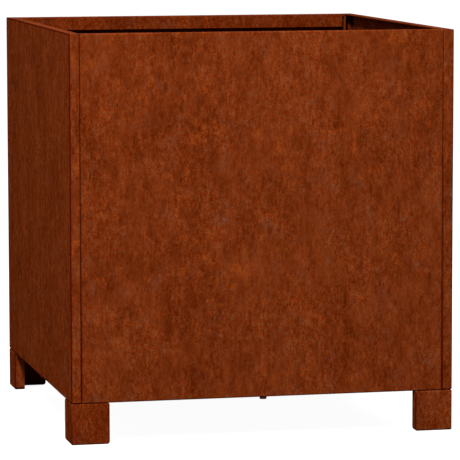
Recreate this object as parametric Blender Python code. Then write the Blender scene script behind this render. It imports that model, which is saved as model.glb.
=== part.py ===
"""A square planter box of folded weathering-steel sheet on four folded corner feet.

Metres, +Z up, +X to the right, the front facing -Y. The origin is on the ground under the middle of the
box. The two side panels wrap round the corners, the front and back panels sit between those wraps, and
bolts hold the panels, the floor and the feet together.
"""
import math

import bmesh
import bpy
from mathutils import Vector

# Driving dimensions
WIDTH = 0.800              # outside, along X and along Y
HEIGHT = 0.830
FOOT_HEIGHT = 0.084
FOOT_WIDTH = 0.079
SHEET = 0.002              # thickness of every folded piece
GAP = 0.0003               # air between pieces that touch
WRAP = 0.022               # a side panel's flange on the front and back, from the corner to the seam
RETURN = 0.020             # inward rims and returns of the panels
LIP_DROP = 0.029           # height of the lip turned down from the front and back rims
LIP_END_SLOT = 0.004       # from a lip's end to the upright return beside it
FOOT_RETURN = 0.022
FOOT_BOTTOM_CORNER = 0.006  # radius of the free corners of a foot's two faces
FOOT_TOP_CORNER = 0.003

BEND = 0.003               # outside radius of every fold
BEND_STEPS = 3

# Floor
FLOOR_CLEARANCE = 0.002    # from the floor's edge to the walls
DRAIN_RADIUS = 0.012
DRAIN_OFFSET = 0.220       # of the outer drain holes from the middle, along X and along Y

# M8 fasteners
SHANK_RADIUS = 0.0039
HOLE_RADIUS = 0.0045
HEX_ACROSS_FLATS = 0.013
HEAD_HEIGHT = 0.0053
NUT_HEIGHT = 0.0065
NUT_BORE_RADIUS = 0.0042
HEX_CHAMFER = 0.0007
SHANK_PAST_NUT = 0.003
BOLT_INSET = 0.0115        # of a bolt's axis from the outer face
FOOT_BOLT_REACH = 0.050    # of a foot's bolts from the planter's corner, along each wall
SEAM_BOLT_HEIGHTS = {"low": 0.170, "middle": 0.456, "high": 0.742}

ROUND_STEPS = 24
SMOOTH_ANGLE = math.radians(40)
CUT_MARGIN = 0.002         # how far a cutter runs past what it cuts
SAME_PLACE = 1e-5

# Worked out
HALF = WIDTH / 2
BODY_BOTTOM = FOOT_HEIGHT + GAP
BODY_HEIGHT = HEIGHT - BODY_BOTTOM
FRONT_LENGTH = WIDTH - 2 * (WRAP + GAP)
FLOOR_BOTTOM = BODY_BOTTOM + SHEET + GAP
FLOOR_TOP = FLOOR_BOTTOM + SHEET
BOLT_LINE = HALF - BOLT_INSET
HEX_RADIUS = HEX_ACROSS_FLATS / math.sqrt(3)
SEAM_GRIP = 2 * SHEET + GAP
FLOOR_GRIP = FLOOR_TOP - BODY_BOTTOM
FOOT_GRIP = FLOOR_TOP - FOOT_HEIGHT + SHEET

# Unit steps from the middle of the planter towards each side
SIDES = {"left": -1, "right": 1}
ENDS = {"front": -1, "back": 1}

# Linear base colour, roughness and metallic of each steel
RUST = (0.182, 0.029, 0.005)
DEEP_RUST = (0.110, 0.017, 0.004)
STAINED_ZINC = (0.160, 0.060, 0.030)
RUST_ROUGHNESS = 0.75
DEEP_RUST_ROUGHNESS = 0.8
BOLT_ROUGHNESS = 0.6
RUST_METALLIC = 0.15


# ---------------------------------------------------------------- helpers

def clear_scene():
    for item in list(bpy.data.objects):
        bpy.data.objects.remove(item, do_unlink=True)


def new_collection(name):
    collection = bpy.data.collections.new(name)
    bpy.context.scene.collection.children.link(collection)
    return collection


def steel(name, color, roughness):
    material = bpy.data.materials.new(name)
    material.use_nodes = True
    shader = material.node_tree.nodes["Principled BSDF"]
    shader.inputs["Base Color"].default_value = (*color, 1.0)
    shader.inputs["Roughness"].default_value = roughness
    shader.inputs["Metallic"].default_value = RUST_METALLIC
    return material


def add_part(name, mesh, material, parent=None):
    mesh.materials.clear()
    mesh.materials.append(material)
    item = bpy.data.objects.new(name, mesh)
    item.parent = parent
    PARTS.objects.link(item)
    return item


def add_cutter(name, mesh, parent=None):
    item = bpy.data.objects.new(name, mesh)
    item.parent = parent
    item.hide_render = True
    item.display_type = "WIRE"
    CUTTERS.objects.link(item)
    return item


def modify(item, cutter, operation="DIFFERENCE"):
    modifier = item.modifiers.new(cutter.name, "BOOLEAN")
    modifier.operation = operation
    modifier.solver = "EXACT"
    modifier.object = cutter


def finish_mesh(name, shape):
    mesh = bpy.data.meshes.new(name)
    shape.to_mesh(mesh)
    shape.free()
    mesh.shade_smooth()
    mesh.set_sharp_from_angle(angle=SMOOTH_ANGLE)
    return mesh


def block(low, high):
    """A box between two opposite corners."""
    shape = bmesh.new()
    low = Vector(low)
    high = Vector(high)
    bmesh.ops.create_cube(shape, size=1.0)
    bmesh.ops.scale(shape, verts=shape.verts, vec=high - low)
    bmesh.ops.translate(shape, verts=shape.verts, vec=(low + high) / 2)
    return shape


def fold(shape, *lines):
    """Round a block's straight edges on the given lines, each a point with None along the line."""
    round_edges(shape, edges_on(shape, *lines), BEND)


def edges_on(shape, *lines):
    """The edges that lie on a given line or plane, each a point with None along its free directions."""
    def on_line(vert, line):
        return all(value is None or abs(vert.co[axis] - value) < SAME_PLACE
                   for axis, value in enumerate(line))

    return [edge for edge in shape.edges
            if any(all(on_line(vert, line) for vert in edge.verts) for line in lines)]


def round_edges(shape, edges, radius):
    bmesh.ops.bevel(shape, geom=edges, offset=radius, segments=BEND_STEPS, profile=0.5, affect="EDGES")


def round_bar(radius, low, high, steps=ROUND_STEPS):
    """A bar along Z from low to high; six steps make it hexagonal."""
    shape = bmesh.new()
    bmesh.ops.create_cone(shape, cap_ends=True, segments=steps, radius1=radius, radius2=radius,
                          depth=high - low)
    bmesh.ops.translate(shape, verts=shape.verts, vec=(0, 0, (low + high) / 2))
    return shape


def evaluated_mesh(item):
    """The mesh of an object with its modifiers done, for pieces that repeat."""
    bpy.context.view_layer.update()
    graph = bpy.context.evaluated_depsgraph_get()
    return bpy.data.meshes.new_from_object(item.evaluated_get(graph))


# ---------------------------------------------------------------- bolt holes

def hole_cutters():
    """Cutters for the bolt holes, each shared by the pieces that its bolt clamps."""
    holes = {"seam": {}, "floor": {}, "foot": {}}
    reach = FRONT_LENGTH / 2 + GAP + SHEET + CUT_MARGIN
    for end, step in ENDS.items():
        for level, height in SEAM_BOLT_HEIGHTS.items():
            name = f"seam_holes_{end}_{level}"
            cutter = add_cutter(name, finish_mesh(name, round_bar(HOLE_RADIUS, -reach, reach)))
            cutter.location = (0, step * BOLT_LINE, height)
            cutter.rotation_euler = (0, math.pi / 2, 0)
            holes["seam"][end, level] = cutter
    for side, place in floor_bolt_places().items():
        holes["floor"][side] = upright_hole(f"floor_hole_{side}", place)
    for corner, places in foot_bolt_places().items():
        for letter, place in places.items():
            holes["foot"][corner, letter] = upright_hole(f"foot_hole_{corner}_{letter}", place)
    return holes


def upright_hole(name, place):
    low = FOOT_HEIGHT - SHEET - CUT_MARGIN
    cutter = add_cutter(name, finish_mesh(name, round_bar(HOLE_RADIUS, low, FLOOR_TOP + CUT_MARGIN)))
    cutter.location = (*place, 0)
    return cutter


def floor_bolt_places():
    places = {end: (0, step * BOLT_LINE) for end, step in ENDS.items()}
    places.update({side: (step * BOLT_LINE, 0) for side, step in SIDES.items()})
    return places


def foot_bolt_places():
    """Two places at each corner: a on the front or back wall, b on the left or right wall."""
    along = HALF - FOOT_BOLT_REACH
    places = {}
    for end, end_step in ENDS.items():
        for side, side_step in SIDES.items():
            places[f"{end}_{side}"] = {
                "a": (side_step * along, end_step * BOLT_LINE),
                "b": (side_step * BOLT_LINE, end_step * along),
            }
    return places


# ---------------------------------------------------------------- panels
# A panel is shaped in its own frame: X along the wall, Y from the outer face inwards, Z up from the
# panel's bottom. An empty carries it to its side of the planter.

def wall_frame(name, side_x, side_y, turn):
    frame = bpy.data.objects.new(f"{name}_frame", None)
    frame.location = (side_x * HALF, side_y * HALF, BODY_BOTTOM)
    frame.rotation_euler = (0, 0, turn)
    PARTS.objects.link(frame)
    return frame


def hollow_panel(name, shape, length, depth, frame):
    """Turn a block into a tray of sheet: a pocket leaves a skin of one thickness all round."""
    panel = add_part(name, finish_mesh(name, shape), RUST_STEEL, frame)
    pocket = block((SHEET - length / 2, SHEET, SHEET),
                   (length / 2 - SHEET, depth - SHEET, BODY_HEIGHT - SHEET))
    round_edges(pocket, pocket.edges[:], BEND - SHEET)
    modify(panel, add_cutter(f"{name}_pocket", finish_mesh(f"{name}_pocket", pocket), frame))
    return panel


def open_mouth(panel, half_length, depth, top, frame):
    """Open a hollow panel's inner face between its returns."""
    name = f"{panel.name}_mouth"
    mouth = block((-half_length, depth - SHEET - CUT_MARGIN, SHEET),
                  (half_length, depth + CUT_MARGIN, top))
    modify(panel, add_cutter(name, finish_mesh(name, mouth), frame))


def end_panel(name, step, turn):
    """The front or back panel, between the side panels' wraps, with a lip under its rim."""
    frame = wall_frame(name, 0, step, turn)
    half = FRONT_LENGTH / 2
    shape = block((-half, 0, 0), (half, RETURN, BODY_HEIGHT))
    fold(shape, (None, 0, 0), (None, 0, BODY_HEIGHT), (None, RETURN, BODY_HEIGHT), (-half, 0, None),
         (half, 0, None))
    panel = hollow_panel(name, shape, FRONT_LENGTH, RETURN, frame)
    open_mouth(panel, half - SHEET, RETURN, BODY_HEIGHT - LIP_DROP, frame)
    for side, side_step in SIDES.items():
        slot_name = f"{name}_lip_slot_{side}"
        slot = block((-LIP_END_SLOT / 2, RETURN - SHEET - CUT_MARGIN, BODY_HEIGHT - LIP_DROP - CUT_MARGIN),
                     (LIP_END_SLOT / 2, RETURN + CUT_MARGIN, BODY_HEIGHT - SHEET - BEND))
        cutter = add_cutter(slot_name, finish_mesh(slot_name, slot), frame)
        cutter.location.x = side_step * (half - SHEET - LIP_END_SLOT / 2)
        modify(panel, cutter)
    return panel


def side_panel(name, step, turn):
    """The left or right panel, which wraps round both corners and turns in beside the seams."""
    frame = wall_frame(name, step, 0, turn)
    shape = block((-HALF, 0, 0), (HALF, WRAP, BODY_HEIGHT))
    wrap_folds = [line for end in (-HALF, HALF)
                  for line in ((end, 0, None), (end, WRAP, None), (end, None, 0))]
    fold(shape, (None, 0, 0), (None, 0, BODY_HEIGHT), *wrap_folds)
    panel = hollow_panel(name, shape, WIDTH, WRAP, frame)
    open_mouth(panel, HALF - RETURN, WRAP, BODY_HEIGHT - SHEET, frame)
    return panel


def build_panels(holes):
    front = end_panel("front_panel", -1, 0)
    back = end_panel("back_panel", 1, math.pi)
    left = side_panel("left_panel", -1, -math.pi / 2)
    right = side_panel("right_panel", 1, math.pi / 2)
    for (end, _), cutter in holes["seam"].items():
        for panel in (front if end == "front" else back, left, right):
            modify(panel, cutter)
    walls = {"front": front, "back": back, "left": left, "right": right}
    for side, cutter in holes["floor"].items():
        modify(walls[side], cutter)
    for (corner, letter), cutter in holes["foot"].items():
        end, side = corner.split("_")
        modify(walls[end if letter == "a" else side], cutter)


# ---------------------------------------------------------------- floor and feet

def build_floor(holes):
    """The sheet that lies on the panels' bottom returns, notched round the upright returns."""
    edge = HALF - SHEET - FLOOR_CLEARANCE
    shape = block((-edge, -edge, FLOOR_BOTTOM), (edge, edge, FLOOR_TOP))
    floor = add_part("floor_panel", finish_mesh("floor_panel", shape), DEEP_RUST_STEEL)
    notch_x = FRONT_LENGTH / 2 - SHEET - FLOOR_CLEARANCE
    notch_y = HALF - RETURN - FLOOR_CLEARANCE
    for end, end_step in ENDS.items():
        for side, side_step in SIDES.items():
            name = f"floor_notch_{end}_{side}"
            low_x, high_x = sorted((side_step * notch_x, side_step * HALF))
            low_y, high_y = sorted((end_step * notch_y, end_step * HALF))
            notch = block((low_x, low_y, FLOOR_BOTTOM - CUT_MARGIN),
                          (high_x, high_y, FLOOR_TOP + CUT_MARGIN))
            modify(floor, add_cutter(name, finish_mesh(name, notch)))
    offsets = (-DRAIN_OFFSET, DRAIN_OFFSET)
    drains = [(0, 0)] + [(x, y) for x in offsets for y in offsets]
    for number, (x, y) in enumerate(drains, 1):
        name = f"drain_hole_{number}"
        bar = round_bar(DRAIN_RADIUS, FLOOR_BOTTOM - CUT_MARGIN, FLOOR_TOP + CUT_MARGIN)
        cutter = add_cutter(name, finish_mesh(name, bar))
        cutter.location = (x, y, 0)
        modify(floor, cutter)
    for cutter in [*holes["floor"].values(), *holes["foot"].values()]:
        modify(floor, cutter)


def foot_mesh():
    """A foot with its outer corner at the origin and its open sides towards +X and +Y."""
    width = FOOT_WIDTH
    shape = block((0, 0, 0), (width, width, FOOT_HEIGHT))
    round_edges(shape, edges_on(shape, (width, None, 0), (None, width, 0)), FOOT_BOTTOM_CORNER)
    round_edges(shape, edges_on(shape, (width, None, FOOT_HEIGHT), (None, width, FOOT_HEIGHT)),
                FOOT_TOP_CORNER)
    fold(shape, (0, None, None), (None, 0, None))
    foot = add_part("foot_shape", finish_mesh("foot_shape", shape), RUST_STEEL)
    inside = width - SHEET
    pocket = block((SHEET, SHEET, SHEET), (inside, inside, FOOT_HEIGHT - SHEET))
    round_edges(pocket, pocket.edges[:], BEND - SHEET)
    past = width + CUT_MARGIN
    opening = block((FOOT_RETURN, FOOT_RETURN, -CUT_MARGIN), (past, past, FOOT_HEIGHT - SHEET))
    cutters = [add_cutter("foot_pocket", finish_mesh("foot_pocket", pocket)),
               add_cutter("foot_opening", finish_mesh("foot_opening", opening))]
    for cutter in cutters:
        modify(foot, cutter)
    mesh = evaluated_mesh(foot)
    for item in [foot, *cutters]:
        bpy.data.objects.remove(item, do_unlink=True)
    return mesh


def build_feet(holes):
    corners = {
        "front_left": (-HALF, -HALF, 0),
        "front_right": (HALF, -HALF, math.pi / 2),
        "back_right": (HALF, HALF, math.pi),
        "back_left": (-HALF, HALF, -math.pi / 2),
    }
    mesh = foot_mesh()
    for corner, (x, y, turn) in corners.items():
        foot = add_part(f"foot_{corner}", mesh, RUST_STEEL)
        foot.location = (x, y, 0)
        foot.rotation_euler = (0, 0, turn)
        for letter in "ab":
            modify(foot, holes["foot"][corner, letter])


# ---------------------------------------------------------------- fasteners
# A bolt stands on its head: the head is below Z = 0 and the shank runs up through what it clamps.

def bolt_mesh(name, grip):
    head = round_bar(HEX_RADIUS, -HEAD_HEIGHT, 0, steps=6)
    rim = edges_on(head, (None, None, -HEAD_HEIGHT))
    bmesh.ops.bevel(head, geom=rim, offset=HEX_CHAMFER, segments=1, profile=0.5, affect="EDGES")
    bolt = add_part(name, finish_mesh(name, head), BOLT_STEEL)
    shank_top = GAP + grip + GAP + NUT_HEIGHT + SHANK_PAST_NUT
    bar = round_bar(SHANK_RADIUS, -HEAD_HEIGHT / 2, shank_top)
    shank = add_cutter(f"{name}_shank", finish_mesh(name, bar))
    modify(bolt, shank, "UNION")
    mesh = evaluated_mesh(bolt)
    for item in (bolt, shank):
        bpy.data.objects.remove(item, do_unlink=True)
    return mesh


def nut_mesh():
    hexagon = round_bar(HEX_RADIUS, 0, NUT_HEIGHT, steps=6)
    nut = add_part("nut", finish_mesh("nut", hexagon), BOLT_STEEL)
    bar = round_bar(NUT_BORE_RADIUS, -GAP, NUT_HEIGHT + GAP)
    bore = add_cutter("nut_bore", finish_mesh("nut_bore", bar))
    modify(nut, bore)
    mesh = evaluated_mesh(nut)
    for item in (nut, bore):
        bpy.data.objects.remove(item, do_unlink=True)
    return mesh


def place_pair(kind, ending, meshes, head_place, direction, grip):
    """A bolt whose head bears at head_place, and its nut, along a unit direction."""
    direction = Vector(direction)
    turn = Vector((0, 0, 1)).rotation_difference(direction).to_euler()
    bolt = add_part(f"{kind}_bolt_{ending}", meshes[0], BOLT_STEEL)
    bolt.location = Vector(head_place) - GAP * direction
    bolt.rotation_euler = turn
    nut = add_part(f"{kind}_nut_{ending}", meshes[1], BOLT_STEEL)
    nut.location = Vector(head_place) + (grip + GAP) * direction
    nut.rotation_euler = turn


def build_fasteners():
    nut = nut_mesh()
    seam_bolt = bolt_mesh("seam_bolt_shape", SEAM_GRIP)
    floor_bolt = bolt_mesh("floor_bolt_shape", FLOOR_GRIP)
    foot_bolt = bolt_mesh("foot_bolt_shape", FOOT_GRIP)
    seam_face = FRONT_LENGTH / 2 - SHEET
    for end, end_step in ENDS.items():
        for side, side_step in SIDES.items():
            for level, height in SEAM_BOLT_HEIGHTS.items():
                place = (side_step * seam_face, end_step * BOLT_LINE, height)
                place_pair("seam", f"{end}_{side}_{level}", (seam_bolt, nut), place, (side_step, 0, 0),
                           SEAM_GRIP)
    for side, place in floor_bolt_places().items():
        place_pair("floor", side, (floor_bolt, nut), (*place, BODY_BOTTOM), (0, 0, 1), FLOOR_GRIP)
    for corner, places in foot_bolt_places().items():
        for letter, place in places.items():
            head = (*place, FOOT_HEIGHT - SHEET)
            place_pair("foot", f"{corner}_{letter}", (foot_bolt, nut), head, (0, 0, 1), FOOT_GRIP)


clear_scene()
PARTS = new_collection("planter_box")
CUTTERS = new_collection("cutters")
RUST_STEEL = steel("rust_steel", RUST, RUST_ROUGHNESS)
DEEP_RUST_STEEL = steel("deep_rust_steel", DEEP_RUST, DEEP_RUST_ROUGHNESS)
BOLT_STEEL = steel("bolt_steel", STAINED_ZINC, BOLT_ROUGHNESS)
HOLES = hole_cutters()
build_panels(HOLES)
build_floor(HOLES)
build_feet(HOLES)
build_fasteners()
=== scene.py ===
"""Looks of the planter box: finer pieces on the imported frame, rust, ground, lights and camera."""
import math

import bmesh
import bpy
from mathutils import Matrix, Vector


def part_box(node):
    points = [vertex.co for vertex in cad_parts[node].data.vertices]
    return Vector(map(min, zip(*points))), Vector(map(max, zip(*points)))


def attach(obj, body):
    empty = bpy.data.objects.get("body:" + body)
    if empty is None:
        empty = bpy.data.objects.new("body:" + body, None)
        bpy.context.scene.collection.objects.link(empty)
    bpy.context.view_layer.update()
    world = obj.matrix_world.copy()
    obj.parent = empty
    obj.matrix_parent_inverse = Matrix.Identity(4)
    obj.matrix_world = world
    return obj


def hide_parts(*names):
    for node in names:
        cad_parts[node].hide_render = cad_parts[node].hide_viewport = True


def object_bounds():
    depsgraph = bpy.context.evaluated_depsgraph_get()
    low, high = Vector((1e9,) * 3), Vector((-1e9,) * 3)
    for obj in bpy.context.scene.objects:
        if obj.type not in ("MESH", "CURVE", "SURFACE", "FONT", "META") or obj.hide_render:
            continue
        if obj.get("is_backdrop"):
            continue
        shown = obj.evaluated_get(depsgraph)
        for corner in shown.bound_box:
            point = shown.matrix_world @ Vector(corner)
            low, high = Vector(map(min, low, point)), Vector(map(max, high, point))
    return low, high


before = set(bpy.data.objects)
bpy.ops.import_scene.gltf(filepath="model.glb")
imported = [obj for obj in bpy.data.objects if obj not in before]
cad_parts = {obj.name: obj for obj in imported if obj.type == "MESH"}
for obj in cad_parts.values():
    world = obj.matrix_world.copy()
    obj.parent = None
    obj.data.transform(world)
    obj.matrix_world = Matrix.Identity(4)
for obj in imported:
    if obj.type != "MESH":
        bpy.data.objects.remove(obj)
cad_low, cad_high = (Vector(corner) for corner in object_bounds())

# Sizes that the frame's boxes don't show, as the CAD model has them
SHEET = 0.002
GAP = 0.0003
LIP_DROP = 0.029
LIP_END_SLOT = 0.004
FOOT_RETURN = 0.022
FOOT_BOTTOM_CORNER = 0.006
FOOT_TOP_CORNER = 0.003
BEND = 0.003                 # outside radius of every fold
HOLE_RADIUS = 0.0045
DRAIN_RADIUS = 0.012
DRAIN_OFFSET = 0.220
BOLT_INSET = 0.0115          # of a bolt's axis from the outer face
FOOT_BOLT_REACH = 0.050      # of a foot's bolts from the planter's corner
SEAM_BOLT_HEIGHTS = (0.170, 0.456, 0.742)
HEX_ACROSS_FLATS = 0.013
HEAD_HEIGHT = 0.0053
NUT_HEIGHT = 0.0065
SHANK_RADIUS = 0.0039
NUT_BORE_RADIUS = 0.0042

# Finer shapes that the CAD model leaves out
HEX_CHAMFER_SLOPE = math.tan(math.radians(30))
HEX_CHAMFER_START = 0.97     # where the chamfer of a hexagon's end starts, of the radius to its flats
WASHER_FACE_RADIUS = 0.0058
WASHER_FACE_HEIGHT = 0.0004
COUNTERSINK = 0.0006
TIP_CHAMFER = 0.0008
THREAD_PITCH = 0.00125
THREAD_DEPTH = 0.0006
THREAD_LENGTH = 0.0085
THREAD_STEPS = 24            # round the shank
THREAD_ROWS = 6              # along each turn

# Meshing
BEND_STEPS = 6
CORNER_STEPS = 4
ROUND_STEPS = 40
CUT_MARGIN = 0.002           # how far a cutter runs past what it cuts
SAME_PLACE = 1e-5
SMOOTH_ANGLE = math.radians(28)

# How the rust, and the painted shade on the folds, differ from piece to piece
BOTTOM_FOLD_SHADE = 0.5      # painted shade on the bottom folds of the front and back panels, whose other outer folds get none
LIP_DEPTH = 0.65             # how much deeper the rust is on the lips, and below on each foot
FOOT_DEPTH = {"front_left": 0.7, "front_right": 0.0, "back_right": 0.3, "back_left": 0.2}
LIP_GRAIN = 2.8              # how much more the grain stands out on the lips, feet and side panels
FOOT_GRAIN = 2.6
SIDE_GRAIN = 1.7

HALF = cad_high.x
BODY_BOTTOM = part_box("front_panel")[0][2]
BOLT_LINE = HALF - BOLT_INSET
FOOT_BOLT_PLACE = HALF - FOOT_BOLT_REACH
HEX_RADIUS = HEX_ACROSS_FLATS / math.sqrt(3)

SIDES = {"left": -1, "right": 1}
ENDS = {"front": -1, "back": 1}
TURNS = {"front": 0, "back": math.pi, "left": -math.pi / 2, "right": math.pi / 2}


# ---------------------------------------------------------------- mesh helpers

def node_box(name):
    low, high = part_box(name)
    return Vector(low), Vector(high)


def finish_mesh(name, shape):
    mesh = bpy.data.meshes.new(name)
    shape.to_mesh(mesh)
    shape.free()
    mesh.shade_smooth()
    mesh.set_sharp_from_angle(angle=SMOOTH_ANGLE)
    return mesh


def add_object(name, mesh):
    item = bpy.data.objects.new(name, mesh)
    bpy.context.scene.collection.objects.link(item)
    return item


def block(low, high):
    shape = bmesh.new()
    low = Vector(low)
    high = Vector(high)
    bmesh.ops.create_cube(shape, size=1.0)
    bmesh.ops.scale(shape, verts=shape.verts, vec=high - low)
    bmesh.ops.translate(shape, verts=shape.verts, vec=(low + high) / 2)
    return shape


def round_edges(shape, edges, radius, steps=BEND_STEPS):
    bmesh.ops.bevel(shape, geom=edges, offset=radius, segments=steps, profile=0.5, affect="EDGES")


def edges_on(shape, *lines):
    """The edges that lie on a given line or plane, each a point with None along its free directions."""
    def on_line(vert, line):
        return all(value is None or abs(vert.co[axis] - value) < SAME_PLACE
                   for axis, value in enumerate(line))

    return [edge for edge in shape.edges
            if any(all(on_line(vert, line) for vert in edge.verts) for line in lines)]


def fold(shape, *lines):
    """Round a block's straight edges on the given lines to the fold radius."""
    round_edges(shape, edges_on(shape, *lines), BEND)


def round_bar(radius, low, high, steps=ROUND_STEPS):
    """A bar along Z from low to high; six steps make it hexagonal."""
    shape = bmesh.new()
    bmesh.ops.create_cone(shape, cap_ends=True, segments=steps, radius1=radius, radius2=radius,
                          depth=high - low)
    bmesh.ops.translate(shape, verts=shape.verts, vec=(0, 0, (low + high) / 2))
    return shape


def hole_bar(place, axis):
    """A short bar that cuts one bolt hole, centred on place, along the X, Y or Z axis."""
    shape = round_bar(HOLE_RADIUS, -SHEET - CUT_MARGIN, SHEET + CUT_MARGIN)
    turn_axis = {"X": "Y", "Y": "X"}.get(axis)
    if turn_axis:
        bmesh.ops.rotate(shape, verts=shape.verts, cent=(0, 0, 0),
                         matrix=Matrix.Rotation(math.pi / 2, 3, turn_axis))
    bmesh.ops.translate(shape, verts=shape.verts, vec=place)
    return shape


def carve(name, shape, cutters, operation="DIFFERENCE"):
    """The mesh of a shape after a boolean operation with each of its cutters, which are bmeshes too."""
    item = add_object(name, finish_mesh(name, shape))
    helpers = []
    for cutter in cutters:
        helper = add_object(f"{name}_cutter", finish_mesh(f"{name}_cutter", cutter))
        modifier = item.modifiers.new(helper.name, "BOOLEAN")
        modifier.operation = operation
        modifier.solver = "EXACT"
        modifier.object = helper
        helpers.append(helper)
    graph = bpy.context.evaluated_depsgraph_get()
    mesh = bpy.data.meshes.new_from_object(item.evaluated_get(graph))
    mesh.name = name
    for helper in [item, *helpers]:
        bpy.data.objects.remove(helper, do_unlink=True)
    mesh.shade_smooth()
    mesh.set_sharp_from_angle(angle=SMOOTH_ANGLE)
    return mesh


def mark_rust(mesh, shift, flats, shade_rule=lambda point: 1.0, depth=lambda point: 0.0,
              grain=lambda point: 1.0):
    """Store at each point what the rust material reads.

    rust_place is the point's place in the pattern, moved by shift so that no two pieces match. A second
    attribute holds how much painted shade darkens a fold there: the shade rule's value off the sheet's
    flat faces, whose planes are given as (axis, value), and 0 on them. rust_depth and rust_grain are how
    deep the rust is and how much its grain stands out.
    """
    def bend(point):
        flat = any(abs(point[axis] - value) < SAME_PLACE for axis, value in flats)
        return 0.0 if flat else shade_rule(point)

    places = mesh.attributes.new("rust_place", "FLOAT_VECTOR", "POINT")
    for vert, item in zip(mesh.vertices, places.data):
        item.vector = vert.co + Vector(shift)
    for name, rule in (("painted_fold_shade", bend), ("rust_depth", depth), ("rust_grain", grain)):
        values = mesh.attributes.new(name, "FLOAT", "POINT")
        for vert, item in zip(mesh.vertices, values.data):
            item.value = rule(vert.co)


def stand_in(name, mesh, node, material, place=(0, 0, 0), turn=None):
    """Show a piece in place of a CAD node."""
    item = add_object(name, mesh)
    item.location = place
    if turn:
        item.rotation_euler = turn
    if not mesh.materials:
        mesh.materials.append(material)
    modifier = item.modifiers.new("flat_faces", "WEIGHTED_NORMAL")
    modifier.keep_sharp = True
    modifier.weight = 100
    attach(item, "root")
    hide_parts(node)
    return item


# ---------------------------------------------------------------- materials

class Nodes:
    """A material's node tree, with short calls for the nodes that the rust is mixed from."""

    def __init__(self, name):
        self.material = bpy.data.materials.new(name)
        self.material.use_nodes = True
        self.tree = self.material.node_tree
        self.shader = self.tree.nodes["Principled BSDF"]

    def add(self, kind, **settings):
        node = self.tree.nodes.new(kind)
        for key, value in settings.items():
            setattr(node, key, value)
        return node

    def feed(self, socket, value):
        """Link a socket's value, or set it when it is a plain number or colour."""
        if isinstance(value, bpy.types.NodeSocket):
            self.tree.links.new(value, socket)
        elif isinstance(value, tuple) and len(value) == 3 and socket.type == "RGBA":
            socket.default_value = (*value, 1.0)
        else:
            socket.default_value = value

    def attribute(self, name, output):
        return self.add("ShaderNodeAttribute", attribute_name=name).outputs[output]

    def stretched(self, place, upright, shift=(0, 0, 0)):
        """A place whose patterns are drawn out along Z, more so the smaller upright is."""
        node = self.add("ShaderNodeMapping")
        self.feed(node.inputs["Vector"], place)
        node.inputs["Scale"].default_value = (1.0, 1.0, upright)
        node.inputs["Location"].default_value = shift
        return node.outputs["Vector"]

    def noise(self, place, scale, detail=2.0, roughness=0.5, distortion=0.0):
        node = self.add("ShaderNodeTexNoise")
        self.feed(node.inputs["Vector"], place)
        node.inputs["Scale"].default_value = scale
        node.inputs["Detail"].default_value = detail
        node.inputs["Roughness"].default_value = roughness
        node.inputs["Distortion"].default_value = distortion
        return node.outputs["Fac"]

    def grown(self, place, upright, shift, scale, detail, roughness=0.5):
        """Noise that is drawn out along Z and has its own part of the pattern."""
        return self.noise(self.stretched(place, upright, shift), scale, detail, roughness)

    def cells(self, place, scale):
        node = self.add("ShaderNodeTexVoronoi")
        self.feed(node.inputs["Vector"], place)
        node.inputs["Scale"].default_value = scale
        return node.outputs["Distance"]

    def span(self, value, from_low, from_high, to_low=0.0, to_high=1.0):
        """Map one range of a value to another, smoothly and with its ends held."""
        node = self.add("ShaderNodeMapRange", interpolation_type="SMOOTHSTEP")
        self.feed(node.inputs["Value"], value)
        for socket, number in (("From Min", from_low), ("From Max", from_high), ("To Min", to_low),
                               ("To Max", to_high)):
            node.inputs[socket].default_value = number
        return node.outputs["Result"]

    def math(self, operation, first, second=0.0, third=0.0):
        node = self.add("ShaderNodeMath", operation=operation)
        for socket, value in zip(node.inputs, (first, second, third)):
            self.feed(socket, value)
        return node.outputs["Value"]

    def sum(self, *weighted):
        """The sum of (value, weight) pairs; a plain number is an offset."""
        total = 0.0
        for value, weight in weighted:
            total = self.math("MULTIPLY_ADD", value, weight, total)
        return total

    def ramp(self, value, *stops):
        """Colours, each (position, (red, green, blue)), blended along a value."""
        node = self.add("ShaderNodeValToRGB")
        self.feed(node.inputs["Fac"], value)
        elements = node.color_ramp.elements
        while len(elements) < len(stops):
            elements.new(0.5)
        for element, (position, color) in zip(elements, stops):
            element.position = position
            element.color = (*color, 1.0)
        return node.outputs["Color"]

    def mix(self, factor, first, second, blend="MIX"):
        """Blend two colours. The node has float, vector and colour sockets, told apart by identifier."""
        node = self.add("ShaderNodeMix", data_type="RGBA", blend_type=blend)
        sockets = {socket.identifier: socket for socket in (*node.inputs, *node.outputs)}
        self.feed(sockets["Factor_Float"], factor)
        self.feed(sockets["A_Color"], first)
        self.feed(sockets["B_Color"], second)
        return sockets["Result_Color"]

    def tinted(self, color, tint):
        return self.mix(1.0, color, tint, "MULTIPLY")

    def bump(self, height, distance, strength):
        node = self.add("ShaderNodeBump")
        self.feed(node.inputs["Height"], height)
        node.inputs["Distance"].default_value = distance
        node.inputs["Strength"].default_value = strength
        return node.outputs["Normal"]


# Colours that the rust is multiplied by
BURNT = (0.87, 0.64, 0.40)
BRIGHT = (1.13, 1.36, 1.60)
REDDER = (1.08, 0.78, 0.42)
DUSTIER = (0.92, 1.22, 1.58)
DEEPER = (0.80, 0.62, 0.40)


def mix_spots(rust, place, color, tint, spots, spot_span, areas, area_span):
    """Blend in a tint in spots, more in some areas than in others.

    Spots and areas are the settings of a grown noise, each with the span that its values are mapped by.
    """
    shown = rust.span(rust.grown(place, *spots), *spot_span)
    strength = rust.span(rust.grown(place, *areas), *area_span)
    return rust.mix(rust.math("MULTIPLY", shown, strength), color, tint)


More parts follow.
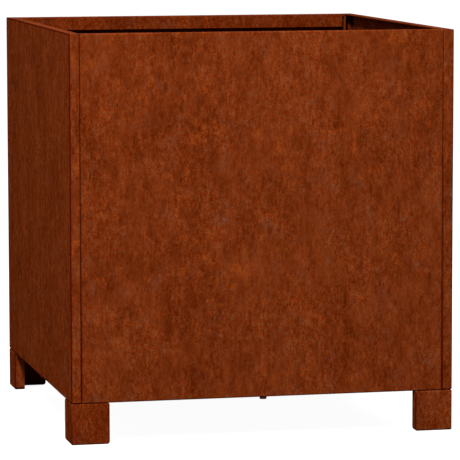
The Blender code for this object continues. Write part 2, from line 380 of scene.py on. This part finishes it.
def mix_grain(rust, place, upright, color):
    """Fine grain in lightness and in hue, coarser in some areas than in others."""
    coarse = rust.span(rust.grown(place, 0.7, (2.3, 6.1, 3.7), 14.0, 2.0, 0.7), 0.38, 0.62, 0.55, 1.55)
    grain = rust.sum((rust.noise(upright, 150.0, detail=2.0, roughness=0.9), 2.2),
                     (rust.noise(place, 330.0, detail=1.0), 1.8), (-2.0, 1.0))
    strength = rust.math("MULTIPLY", coarse, rust.attribute("rust_grain", "Fac"))
    grain = rust.math("MULTIPLY_ADD", grain, strength, 0.5)
    color = rust.mix(grain, rust.tinted(color, BURNT), rust.tinted(color, BRIGHT))
    hue = rust.grown(place, 0.8, (5.9, 8.3, 1.9), 210.0, 2.0, 0.9)
    hue = rust.math("MULTIPLY_ADD", rust.math("SUBTRACT", hue, 0.5), rust.math("MULTIPLY", coarse, 3.0),
                    0.5)
    return rust.mix(hue, rust.tinted(color, REDDER), rust.tinted(color, DUSTIER))


def mix_dust_and_sheen(rust, color, dust_and_sheen_tint):
    """Pale dust, and a painted sheen, on the faces that look up."""
    facing = rust.add("ShaderNodeSeparateXYZ")
    rust.feed(facing.inputs["Vector"], rust.add("ShaderNodeNewGeometry").outputs["Normal"])
    return rust.mix(rust.span(facing.outputs["Z"], 0.80, 1.0, 0.0, 0.09), color, dust_and_sheen_tint)


def mix_flecks(rust, place, color, dark):
    """Dark flecks, and a few bigger scars, each in some areas only."""
    flecks = rust.cells(rust.stretched(place, 0.4), 62.0)
    sparse = rust.noise(place, 11.0, detail=1.0)
    flecks = rust.math("MULTIPLY", rust.span(flecks, 0.20, 0.08), rust.span(sparse, 0.50, 0.60))
    scars = rust.cells(rust.stretched(place, 0.45, (1.7, 0.6, 2.2)), 21.0)
    rare = rust.noise(place, 4.0, detail=1.0)
    scars = rust.math("MULTIPLY", rust.span(scars, 0.13, 0.05), rust.span(rare, 0.52, 0.58))
    flecks = rust.math("MAXIMUM", flecks, scars)
    return rust.mix(rust.math("MULTIPLY", flecks, 0.75), color, dark)


def rust_material(name, dark, middle, light, grey, orange, fold_tint, dust_and_sheen_tint):
    """Weathered steel: blotches of several sizes, drips, pale bloom, grain, dark flecks, pale dust and a
    painted sheen on upward faces, and painted shade on the folds.
    """
    rust = Nodes(name)
    place = rust.attribute("rust_place", "Vector")
    upright = rust.stretched(place, 0.5)
    blotches = rust.noise(upright, 6.5, detail=1.0, distortion=0.4)
    patches = rust.noise(upright, 26.0, detail=1.0, distortion=0.3)
    mottle = rust.noise(upright, 75.0, detail=2.0, roughness=0.7)
    drips = rust.noise(rust.stretched(place, 0.07), 60.0, detail=2.0, roughness=0.6)
    tone = rust.sum((blotches, 0.6), (patches, 0.8), (mottle, 1.5), (drips, 0.6), (-1.25, 1.0))
    color = rust.ramp(tone, (0.0, dark), (0.5, middle), (1.0, light))

    color = mix_spots(rust, place, color, orange,
                      (0.6, (7.7, 2.1, 4.9), 38.0, 5.0, 0.85), (0.53, 0.66),
                      (0.7, (4.1, 9.3, 0.8), 9.0, 1.0), (0.40, 0.60, 0.25, 0.9))
    color = mix_spots(rust, place, color, dark,
                      (0.55, (0.9, 5.2, 6.6), 52.0, 4.0, 0.8), (0.55, 0.68),
                      (0.5, (8.8, 1.4, 7.1), 8.0, 1.0), (0.42, 0.60, 0.2, 0.85))
    bloom = rust.grown(place, 0.7, (3.1, 1.7, 5.3), 28.0, 5.0, 0.8)
    color = rust.mix(rust.span(bloom, 0.53, 0.70, 0.0, 0.7), color, grey)

    color = mix_grain(rust, place, upright, color)
    color = rust.mix(rust.attribute("rust_depth", "Fac"), color, rust.tinted(color, DEEPER))
    color = mix_dust_and_sheen(rust, color, dust_and_sheen_tint)
    color = mix_flecks(rust, place, color, dark)
    # Painted shade on the folds: a blend towards the fold tint as far as the fold attribute says
    color = rust.mix(rust.attribute("painted_fold_shade", "Fac"), color, fold_tint)
    rust.feed(rust.shader.inputs["Base Color"], color)
    rust.feed(rust.shader.inputs["Roughness"], rust.span(tone, 0.0, 1.0, 0.66, 0.88))
    rust.shader.inputs["Specular IOR Level"].default_value = 0.0
    rust.shader.inputs["Metallic"].default_value = 0.0

    pits = rust.noise(place, 210.0, detail=3.0, roughness=0.6)
    fine = rust.noise(place, 900.0, detail=2.0, roughness=0.6)
    normal = rust.bump(rust.sum((fine, 0.3), (pits, 0.7)), 0.0008, 0.6)
    rust.feed(rust.shader.inputs["Normal"], normal)
    return rust.material


WALL_RUST = rust_material("wall_rust", dark=(0.103, 0.0140, 0.0018), middle=(0.155, 0.0248, 0.0044),
                          light=(0.205, 0.0385, 0.0085), grey=(0.160, 0.0430, 0.0180),
                          orange=(0.255, 0.0440, 0.0060), fold_tint=(0.060, 0.0045, 0.0012),
                          dust_and_sheen_tint=(0.300, 0.1100, 0.0600))
FLOOR_RUST = rust_material("floor_rust", dark=(0.050, 0.0080, 0.0020), middle=(0.100, 0.0180, 0.0045),
                           light=(0.160, 0.0330, 0.0085), grey=(0.090, 0.0300, 0.0140),
                           orange=(0.200, 0.0450, 0.0080), fold_tint=(0.080, 0.0100, 0.0020),
                           dust_and_sheen_tint=(0.300, 0.1100, 0.0600))
BOLT_RUST = rust_material("bolt_rust", dark=(0.060, 0.0180, 0.0070), middle=(0.130, 0.0450, 0.0180),
                          light=(0.220, 0.0900, 0.0450), grey=(0.150, 0.1000, 0.0750),
                          orange=(0.240, 0.0650, 0.0150), fold_tint=(0.150, 0.0600, 0.0300),
                          dust_and_sheen_tint=(0.300, 0.1500, 0.1000))


# ---------------------------------------------------------------- panels
# Each panel is shaped in its wall's frame: X along the wall, Y from the outer face inwards, Z up from the
# panel's bottom.

def wall_place(side):
    step_x = SIDES.get(side, 0)
    step_y = ENDS.get(side, 0)
    return Vector((step_x * HALF, step_y * HALF, BODY_BOTTOM))


def wall_holes(seam_x, seam_y, seam_axis):
    """Bolt holes through a wall's upright returns, at X = +-seam_x, and through its bottom return."""
    seams = [hole_bar((step * seam_x, seam_y, height - BODY_BOTTOM), seam_axis)
             for step in (-1, 1) for height in SEAM_BOLT_HEIGHTS]
    bottoms = [hole_bar((x, BOLT_INSET, 0), "Z") for x in (-FOOT_BOLT_PLACE, 0, FOOT_BOLT_PLACE)]
    return seams + bottoms


def panel_flats(half, depth, height):
    """The planes of a panel's flat faces, outside and inside."""
    return [(axis, value) for axis, ends in enumerate(((-half, half), (0, depth), (0, height)))
            for end, inwards in zip(ends, (1, -1)) for value in (end, end + inwards * SHEET)]


def tray_pocket(half, depth, height):
    pocket = block((SHEET - half, SHEET, SHEET), (half - SHEET, depth - SHEET, height - SHEET))
    round_edges(pocket, pocket.edges[:], BEND - SHEET, CORNER_STEPS)
    return pocket


def make_end_panel(side):
    """The front or back panel, between the side panels' wraps, with a lip under its rim."""
    node = f"{side}_panel"
    low, high = node_box(node)
    half = high.x
    depth = high.y - low.y
    height = high.z - low.z
    shape = block((-half, 0, 0), (half, depth, height))
    fold(shape, (None, 0, 0), (None, 0, height), (None, depth, height), (-half, 0, None), (half, 0, None))
    mouth = block((SHEET - half, depth - SHEET - CUT_MARGIN, SHEET),
                  (half - SHEET, depth + CUT_MARGIN, height - LIP_DROP))
    slots = []
    for step in (-1, 1):
        inner, outer = sorted((step * (half - SHEET - LIP_END_SLOT), step * (half - SHEET)))
        slots.append(block((inner, depth - SHEET - CUT_MARGIN, height - LIP_DROP - CUT_MARGIN),
                           (outer, depth + CUT_MARGIN, height - SHEET - BEND)))
    cutters = [tray_pocket(half, depth, height), mouth, *slots, *wall_holes(half, BOLT_INSET, "X")]
    mesh = carve(node, shape, cutters)

    # Painted shade on the bottom folds only
    def bottom_fold_shade(point):
        return BOTTOM_FOLD_SHADE if point.z < BEND - SAME_PLACE else 0.0

    def on_lip(point):
        return point.y > depth - SHEET - SAME_PLACE and point.z > height - LIP_DROP - SAME_PLACE

    mark_rust(mesh, (1.3 * TURNS[side], 0.7, 0.4 * TURNS[side]), panel_flats(half, depth, height),
              shade_rule=bottom_fold_shade, depth=lambda point: LIP_DEPTH if on_lip(point) else 0.0,
              grain=lambda point: LIP_GRAIN if on_lip(point) else 1.0)
    stand_in(f"{side}_wall", mesh, node, WALL_RUST, wall_place(side), (0, 0, TURNS[side]))


def make_side_panel(side):
    """The left or right panel, which wraps round both corners and turns in beside the seams."""
    node = f"{side}_panel"
    low, high = node_box(node)
    half = high.y
    depth = high.x - low.x
    height = high.z - low.z
    front_low, front_high = node_box("front_panel")
    return_depth = front_high.y - front_low.y
    shape = block((-half, 0, 0), (half, depth, height))
    wraps = [line for end in (-half, half) for line in ((end, 0, None), (end, depth, None), (end, None, 0))]
    fold(shape, (None, 0, 0), (None, 0, height), *wraps)
    mouth = block((return_depth - half, depth - SHEET - CUT_MARGIN, SHEET),
                  (half - return_depth, depth + CUT_MARGIN, height - SHEET))
    holes = wall_holes(half - BOLT_INSET, depth, "Y")
    mesh = carve(node, shape, [tray_pocket(half, depth, height), mouth, *holes])

    def side_grain(point):
        return SIDE_GRAIN if point.y < SHEET + SAME_PLACE and abs(point.x) < half - SAME_PLACE else 1.0

    # Every fold of a side panel takes the full painted shade
    mark_rust(mesh, (1.3 * TURNS[side], 2.9, 0.4 * TURNS[side]), panel_flats(half, depth, height),
              grain=side_grain)
    stand_in(f"{side}_wall", mesh, node, WALL_RUST, wall_place(side), (0, 0, TURNS[side]))


for side in ENDS:
    make_end_panel(side)
for side in SIDES:
    make_side_panel(side)


# ---------------------------------------------------------------- floor and feet

def make_floor():
    """The floor sheet: the CAD node's outline, its notches round the upright returns, and its holes."""
    low, high = node_box("floor_panel")
    shape = block(low, high)
    cutters = []
    clearance = HALF - SHEET - high.x
    front_high = node_box("front_panel")[1]
    notch_x = front_high.x - SHEET - clearance
    notch_y = -front_high.y - clearance
    for end_step in ENDS.values():
        for side_step in SIDES.values():
            near_x, far_x = sorted((side_step * notch_x, side_step * HALF))
            near_y, far_y = sorted((end_step * notch_y, end_step * HALF))
            cutters.append(block((near_x, near_y, low.z - CUT_MARGIN), (far_x, far_y, high.z + CUT_MARGIN)))
            cutters += [hole_bar((side_step * FOOT_BOLT_PLACE, end_step * BOLT_LINE, low.z), "Z"),
                        hole_bar((side_step * BOLT_LINE, end_step * FOOT_BOLT_PLACE, low.z), "Z")]
    for step in (-1, 1):
        cutters += [hole_bar((0, step * BOLT_LINE, low.z), "Z"),
                    hole_bar((step * BOLT_LINE, 0, low.z), "Z")]
    offsets = (-DRAIN_OFFSET, DRAIN_OFFSET)
    for x, y in [(0, 0), *((x, y) for x in offsets for y in offsets)]:
        drain = round_bar(DRAIN_RADIUS, low.z - CUT_MARGIN, high.z + CUT_MARGIN)
        bmesh.ops.translate(drain, verts=drain.verts, vec=(x, y, 0))
        cutters.append(drain)
    mesh = carve("floor_panel", shape, cutters)
    mark_rust(mesh, (0.3, 0.9, 0.1), [(2, low.z), (2, high.z)])
    stand_in("floor_sheet", mesh, "floor_panel", FLOOR_RUST)


def make_feet():
    """Folded feet, each shaped with its outer corner at the origin and its open sides towards +X and +Y."""
    corners = {
        "front_left": (-HALF, -HALF, 0),
        "front_right": (HALF, -HALF, math.pi / 2),
        "back_right": (HALF, HALF, math.pi),
        "back_left": (-HALF, HALF, -math.pi / 2),
    }
    low, high = node_box("foot_front_left")
    width = high.x - low.x
    top = high.z
    for number, (corner, (x, y, turn)) in enumerate(corners.items()):
        shape = block((0, 0, 0), (width, width, top))
        round_edges(shape, edges_on(shape, (width, None, 0), (None, width, 0)), FOOT_BOTTOM_CORNER)
        round_edges(shape, edges_on(shape, (width, None, top), (None, width, top)), FOOT_TOP_CORNER)
        fold(shape, (0, None, None), (None, 0, None))
        pocket = block((SHEET, SHEET, SHEET), (width - SHEET, width - SHEET, top - SHEET))
        round_edges(pocket, pocket.edges[:], BEND - SHEET, CORNER_STEPS)
        past = width + CUT_MARGIN
        opening = block((FOOT_RETURN, FOOT_RETURN, -CUT_MARGIN), (past, past, top - SHEET))
        holes = [hole_bar((FOOT_BOLT_REACH, BOLT_INSET, top - SHEET / 2), "Z"),
                 hole_bar((BOLT_INSET, FOOT_BOLT_REACH, top - SHEET / 2), "Z")]
        mesh = carve(f"foot_{corner}", shape, [pocket, opening, *holes])
        flats = [(axis, value) for axis in (0, 1) for value in (0, SHEET, width - SHEET, width)]
        flats += [(2, value) for value in (0, SHEET, top - SHEET, top)]
        depth = FOOT_DEPTH[corner]
        # Painted shade on every fold of a foot but its top ones
        mark_rust(mesh, (1.1 * number, 4.3, 0.7 * number), flats,
                  shade_rule=lambda point: 0.0 if point.z > top - BEND - SAME_PLACE else 1.0,
                  depth=lambda point: depth, grain=lambda point: FOOT_GRAIN)
        stand_in(f"{corner}_foot", mesh, f"foot_{corner}", WALL_RUST, (x, y, 0), (0, 0, turn))


make_floor()
make_feet()


# ---------------------------------------------------------------- fasteners
# A bolt stands on its head: the head is below Z = 0 and the shank runs up through what it clamps.

def turned(profile):
    """A solid turned round Z from (radius, height) points, both ends on the axis."""
    shape = bmesh.new()
    rings = []
    for radius, height in profile:
        if radius < SAME_PLACE:
            rings.append([shape.verts.new((0, 0, height))])
        else:
            rings.append([shape.verts.new((radius * math.cos(math.tau * step / ROUND_STEPS),
                                           radius * math.sin(math.tau * step / ROUND_STEPS), height))
                          for step in range(ROUND_STEPS)])
    for lower, upper in zip(rings, rings[1:]):
        for step in range(ROUND_STEPS):
            after = (step + 1) % ROUND_STEPS
            corners = [lower[step % len(lower)], lower[after % len(lower)],
                       upper[after % len(upper)], upper[step % len(upper)]]
            shape.faces.new(list(dict.fromkeys(corners)))
    bmesh.ops.recalc_face_normals(shape, faces=shape.faces)
    return shape


def hex_piece(name, low, high, chamfer_low, chamfer_high):
    """A hexagon whose corners are turned off at 30 degrees at the chosen ends."""
    start = HEX_ACROSS_FLATS / 2 * HEX_CHAMFER_START
    far = 1.2 * HEX_RADIUS       # anywhere past the corners
    rise = (far - start) * HEX_CHAMFER_SLOPE
    profile = [(0, low)]
    profile += [(start, low), (far, low + rise)] if chamfer_low else [(far, low)]
    profile += [(far, high - rise), (start, high)] if chamfer_high else [(far, high)]
    profile += [(0, high)]
    return carve(name, round_bar(HEX_RADIUS, low, high, steps=6), [turned(profile)], "INTERSECT")


def threaded_shank(low, high):
    """A shank with a helical thread over its last stretch, faded in where the plain part ends."""
    shape = bmesh.new()
    thread_low = high - THREAD_LENGTH
    rows = round(THREAD_LENGTH / THREAD_PITCH * THREAD_ROWS)
    heights = [low] + [thread_low + THREAD_LENGTH * row / rows for row in range(rows + 1)]
    rings = []
    for height in heights:
        fade = min(1.0, max(0.0, (height - thread_low) / THREAD_PITCH))
        tip = max(0.0, 1.0 - (high - height) / TIP_CHAMFER) * TIP_CHAMFER
        ring = []
        for step in range(THREAD_STEPS):
            phase = (step / THREAD_STEPS + height / THREAD_PITCH) % 1.0
            groove = 1.0 - abs(2.0 * phase - 1.0)
            radius = min(SHANK_RADIUS - THREAD_DEPTH * fade * groove, SHANK_RADIUS - tip)
            angle = math.tau * step / THREAD_STEPS
            ring.append(shape.verts.new((radius * math.cos(angle), radius * math.sin(angle), height)))
        rings.append(ring)
    for lower, upper in zip(rings, rings[1:]):
        for step in range(THREAD_STEPS):
            after = (step + 1) % THREAD_STEPS
            shape.faces.new((lower[step], lower[after], upper[after], upper[step]))
    shape.faces.new(rings[0][::-1])
    shape.faces.new(rings[-1])
    bmesh.ops.recalc_face_normals(shape, faces=shape.faces)
    return shape


def bolt_mesh(name, length):
    head = hex_piece(f"{name}_head", -HEAD_HEIGHT, -WASHER_FACE_HEIGHT, True, False)
    shape = bmesh.new()
    shape.from_mesh(head)
    bpy.data.meshes.remove(head)
    washer_face = round_bar(WASHER_FACE_RADIUS, -HEAD_HEIGHT / 2, 0)
    shank = threaded_shank(-HEAD_HEIGHT / 3, length)
    return carve(name, shape, [washer_face, shank], "UNION")


def nut_mesh():
    hexagon = hex_piece("nut_outside", 0, NUT_HEIGHT, True, True)
    shape = bmesh.new()
    shape.from_mesh(hexagon)
    bpy.data.meshes.remove(hexagon)
    wide = NUT_BORE_RADIUS + COUNTERSINK + GAP
    bore = turned([(0, -GAP), (wide, -GAP), (NUT_BORE_RADIUS, COUNTERSINK),
                   (NUT_BORE_RADIUS, NUT_HEIGHT - COUNTERSINK), (wide, NUT_HEIGHT + GAP),
                   (0, NUT_HEIGHT + GAP)])
    return carve("nut", shape, [bore])


def axis_turn(direction):
    return Vector((0, 0, 1)).rotation_difference(Vector(direction)).to_euler()


def fastener_place(node, direction):
    """Where a fastener's own zero lies: the middle of its box, at the box's low end along its direction."""
    low, high = node_box(node)
    middle = (low + high) / 2
    half_length = abs((high - low).dot(Vector(direction))) / 2
    return middle - half_length * Vector(direction)


def make_fasteners():
    nut = nut_mesh()
    bolts = {}
    nodes = sorted(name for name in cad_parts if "_bolt_" in name or "_nut_" in name)
    for number, node in enumerate(nodes):
        kind = node.split("_")[0]
        direction = (0, 0, 1)
        if kind == "seam":
            direction = (SIDES["left" if "_left_" in node else "right"], 0, 0)
        base = fastener_place(node, direction)
        low, high = node_box(node)
        length = abs((high - low).dot(Vector(direction)))
        if "_nut_" in node:
            mesh = nut.copy()
        else:
            if kind not in bolts:
                bolts[kind] = bolt_mesh(f"{kind}_bolt_shape", length - HEAD_HEIGHT)
            mesh = bolts[kind].copy()
            base += HEAD_HEIGHT * Vector(direction)
        mesh.name = node
        # Only Z = 0 counts as flat here, so nearly all of each fastener takes the fold tint, which on the
        # sheets is painted shade
        mark_rust(mesh, (0.31 * number, 0.17 * number, 0.23 * number), [(2, 0.0)])
        stand_in(f"{node}_piece", mesh, node, BOLT_RUST, base, axis_turn(direction))


make_fasteners()


# ---------------------------------------------------------------- ground, light and camera

WHITE = (1.0, 1.0, 1.0, 1.0)
EVEN_LIGHT = 0.16            # the world's strength on the planter; to the camera it is plain white
LIGHT_AIM = (0, 0, 0.4)

# Name, place, side in metres and power in watts
SOFTBOXES = (
    ("key", (-1.9, -3.45, 4.45), 1.1, 421),
    ("fill", (-4.6, 0.3, 2.6), 2.0, 17),
    ("back", (3.4, 4.4, 2.8), 2.0, 190),
)

CAMERA_PLACE = (-1.491, -6.578, 1.132)
CAMERA_AZIMUTH = math.radians(12.941)
CAMERA_ELEVATION = math.radians(6.327)
CAMERA_ROLL = math.radians(-0.095)
FOCAL_LENGTH = 246.36


def make_ground():
    """A pale floor that glows for the camera, so that it stays nearly white in the planter's shade."""
    shape = bmesh.new()
    bmesh.ops.create_grid(shape, x_segments=1, y_segments=1, size=60.0)
    bmesh.ops.translate(shape, verts=shape.verts, vec=(0, 0, -GAP))
    ground = add_object("ground", finish_mesh("ground", shape))
    pale = Nodes("pale_floor")
    place = pale.add("ShaderNodeNewGeometry").outputs["Position"]
    cloud = pale.noise(place, 1.3, detail=3.0)
    pale.feed(pale.shader.inputs["Base Color"], pale.ramp(cloud, (0.3, (0.29,) * 3), (0.7, (0.31,) * 3)))
    pale.shader.inputs["Roughness"].default_value = 0.9
    pale.shader.inputs["Specular IOR Level"].default_value = 0.0
    pale.shader.inputs["Emission Color"].default_value = WHITE
    reach = pale.add("ShaderNodeVectorMath", operation="LENGTH")
    pale.feed(reach.inputs[0], place)
    glow = pale.span(reach.outputs["Value"], 1.0, 5.0, 0.96, 1.0)
    seen = pale.add("ShaderNodeLightPath").outputs["Is Camera Ray"]
    pale.feed(pale.shader.inputs["Emission Strength"], pale.math("MULTIPLY", glow, seen))
    ground.data.materials.append(pale.material)
    ground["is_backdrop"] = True


def make_world():
    """White to the camera; a dim even light on the planter."""
    world = bpy.data.worlds.new("studio")
    world.use_nodes = True
    bpy.context.scene.world = world
    tree = world.node_tree
    tree.nodes.clear()
    output = tree.nodes.new("ShaderNodeOutputWorld")
    mix = tree.nodes.new("ShaderNodeMixShader")
    path = tree.nodes.new("ShaderNodeLightPath")
    for socket, strength in ((mix.inputs[1], EVEN_LIGHT), (mix.inputs[2], 1.0)):
        background = tree.nodes.new("ShaderNodeBackground")
        background.inputs["Strength"].default_value = strength
        background.inputs["Color"].default_value = WHITE
        tree.links.new(background.outputs["Background"], socket)
    tree.links.new(path.outputs["Is Camera Ray"], mix.inputs["Fac"])
    tree.links.new(mix.outputs["Shader"], output.inputs["Surface"])


def add_softbox(name, place, side, power):
    lamp = bpy.data.lights.new(name, "AREA")
    lamp.shape = "RECTANGLE"
    lamp.size = side
    lamp.size_y = side
    lamp.energy = power
    item = bpy.data.objects.new(name, lamp)
    item.location = place
    item.rotation_euler = (Vector(LIGHT_AIM) - Vector(place)).to_track_quat("-Z", "Y").to_euler()
    bpy.context.scene.collection.objects.link(item)


def make_camera():
    lens = bpy.data.cameras.new("camera")
    lens.sensor_width = 36.0
    lens.lens = FOCAL_LENGTH
    lens.clip_end = 200.0
    camera = bpy.data.objects.new("camera", lens)
    forward = Vector((math.sin(CAMERA_AZIMUTH) * math.cos(CAMERA_ELEVATION),
                      math.cos(CAMERA_AZIMUTH) * math.cos(CAMERA_ELEVATION), -math.sin(CAMERA_ELEVATION)))
    roll = Matrix.Rotation(CAMERA_ROLL, 3, "Z").to_quaternion()
    camera.location = CAMERA_PLACE
    camera.rotation_euler = (forward.to_track_quat("-Z", "Y") @ roll).to_euler()
    bpy.context.scene.collection.objects.link(camera)
    bpy.context.scene.camera = camera


make_ground()
make_world()
for softbox in SOFTBOXES:
    add_softbox(*softbox)
make_camera()
bpy.context.scene.view_settings.view_transform = "Standard"
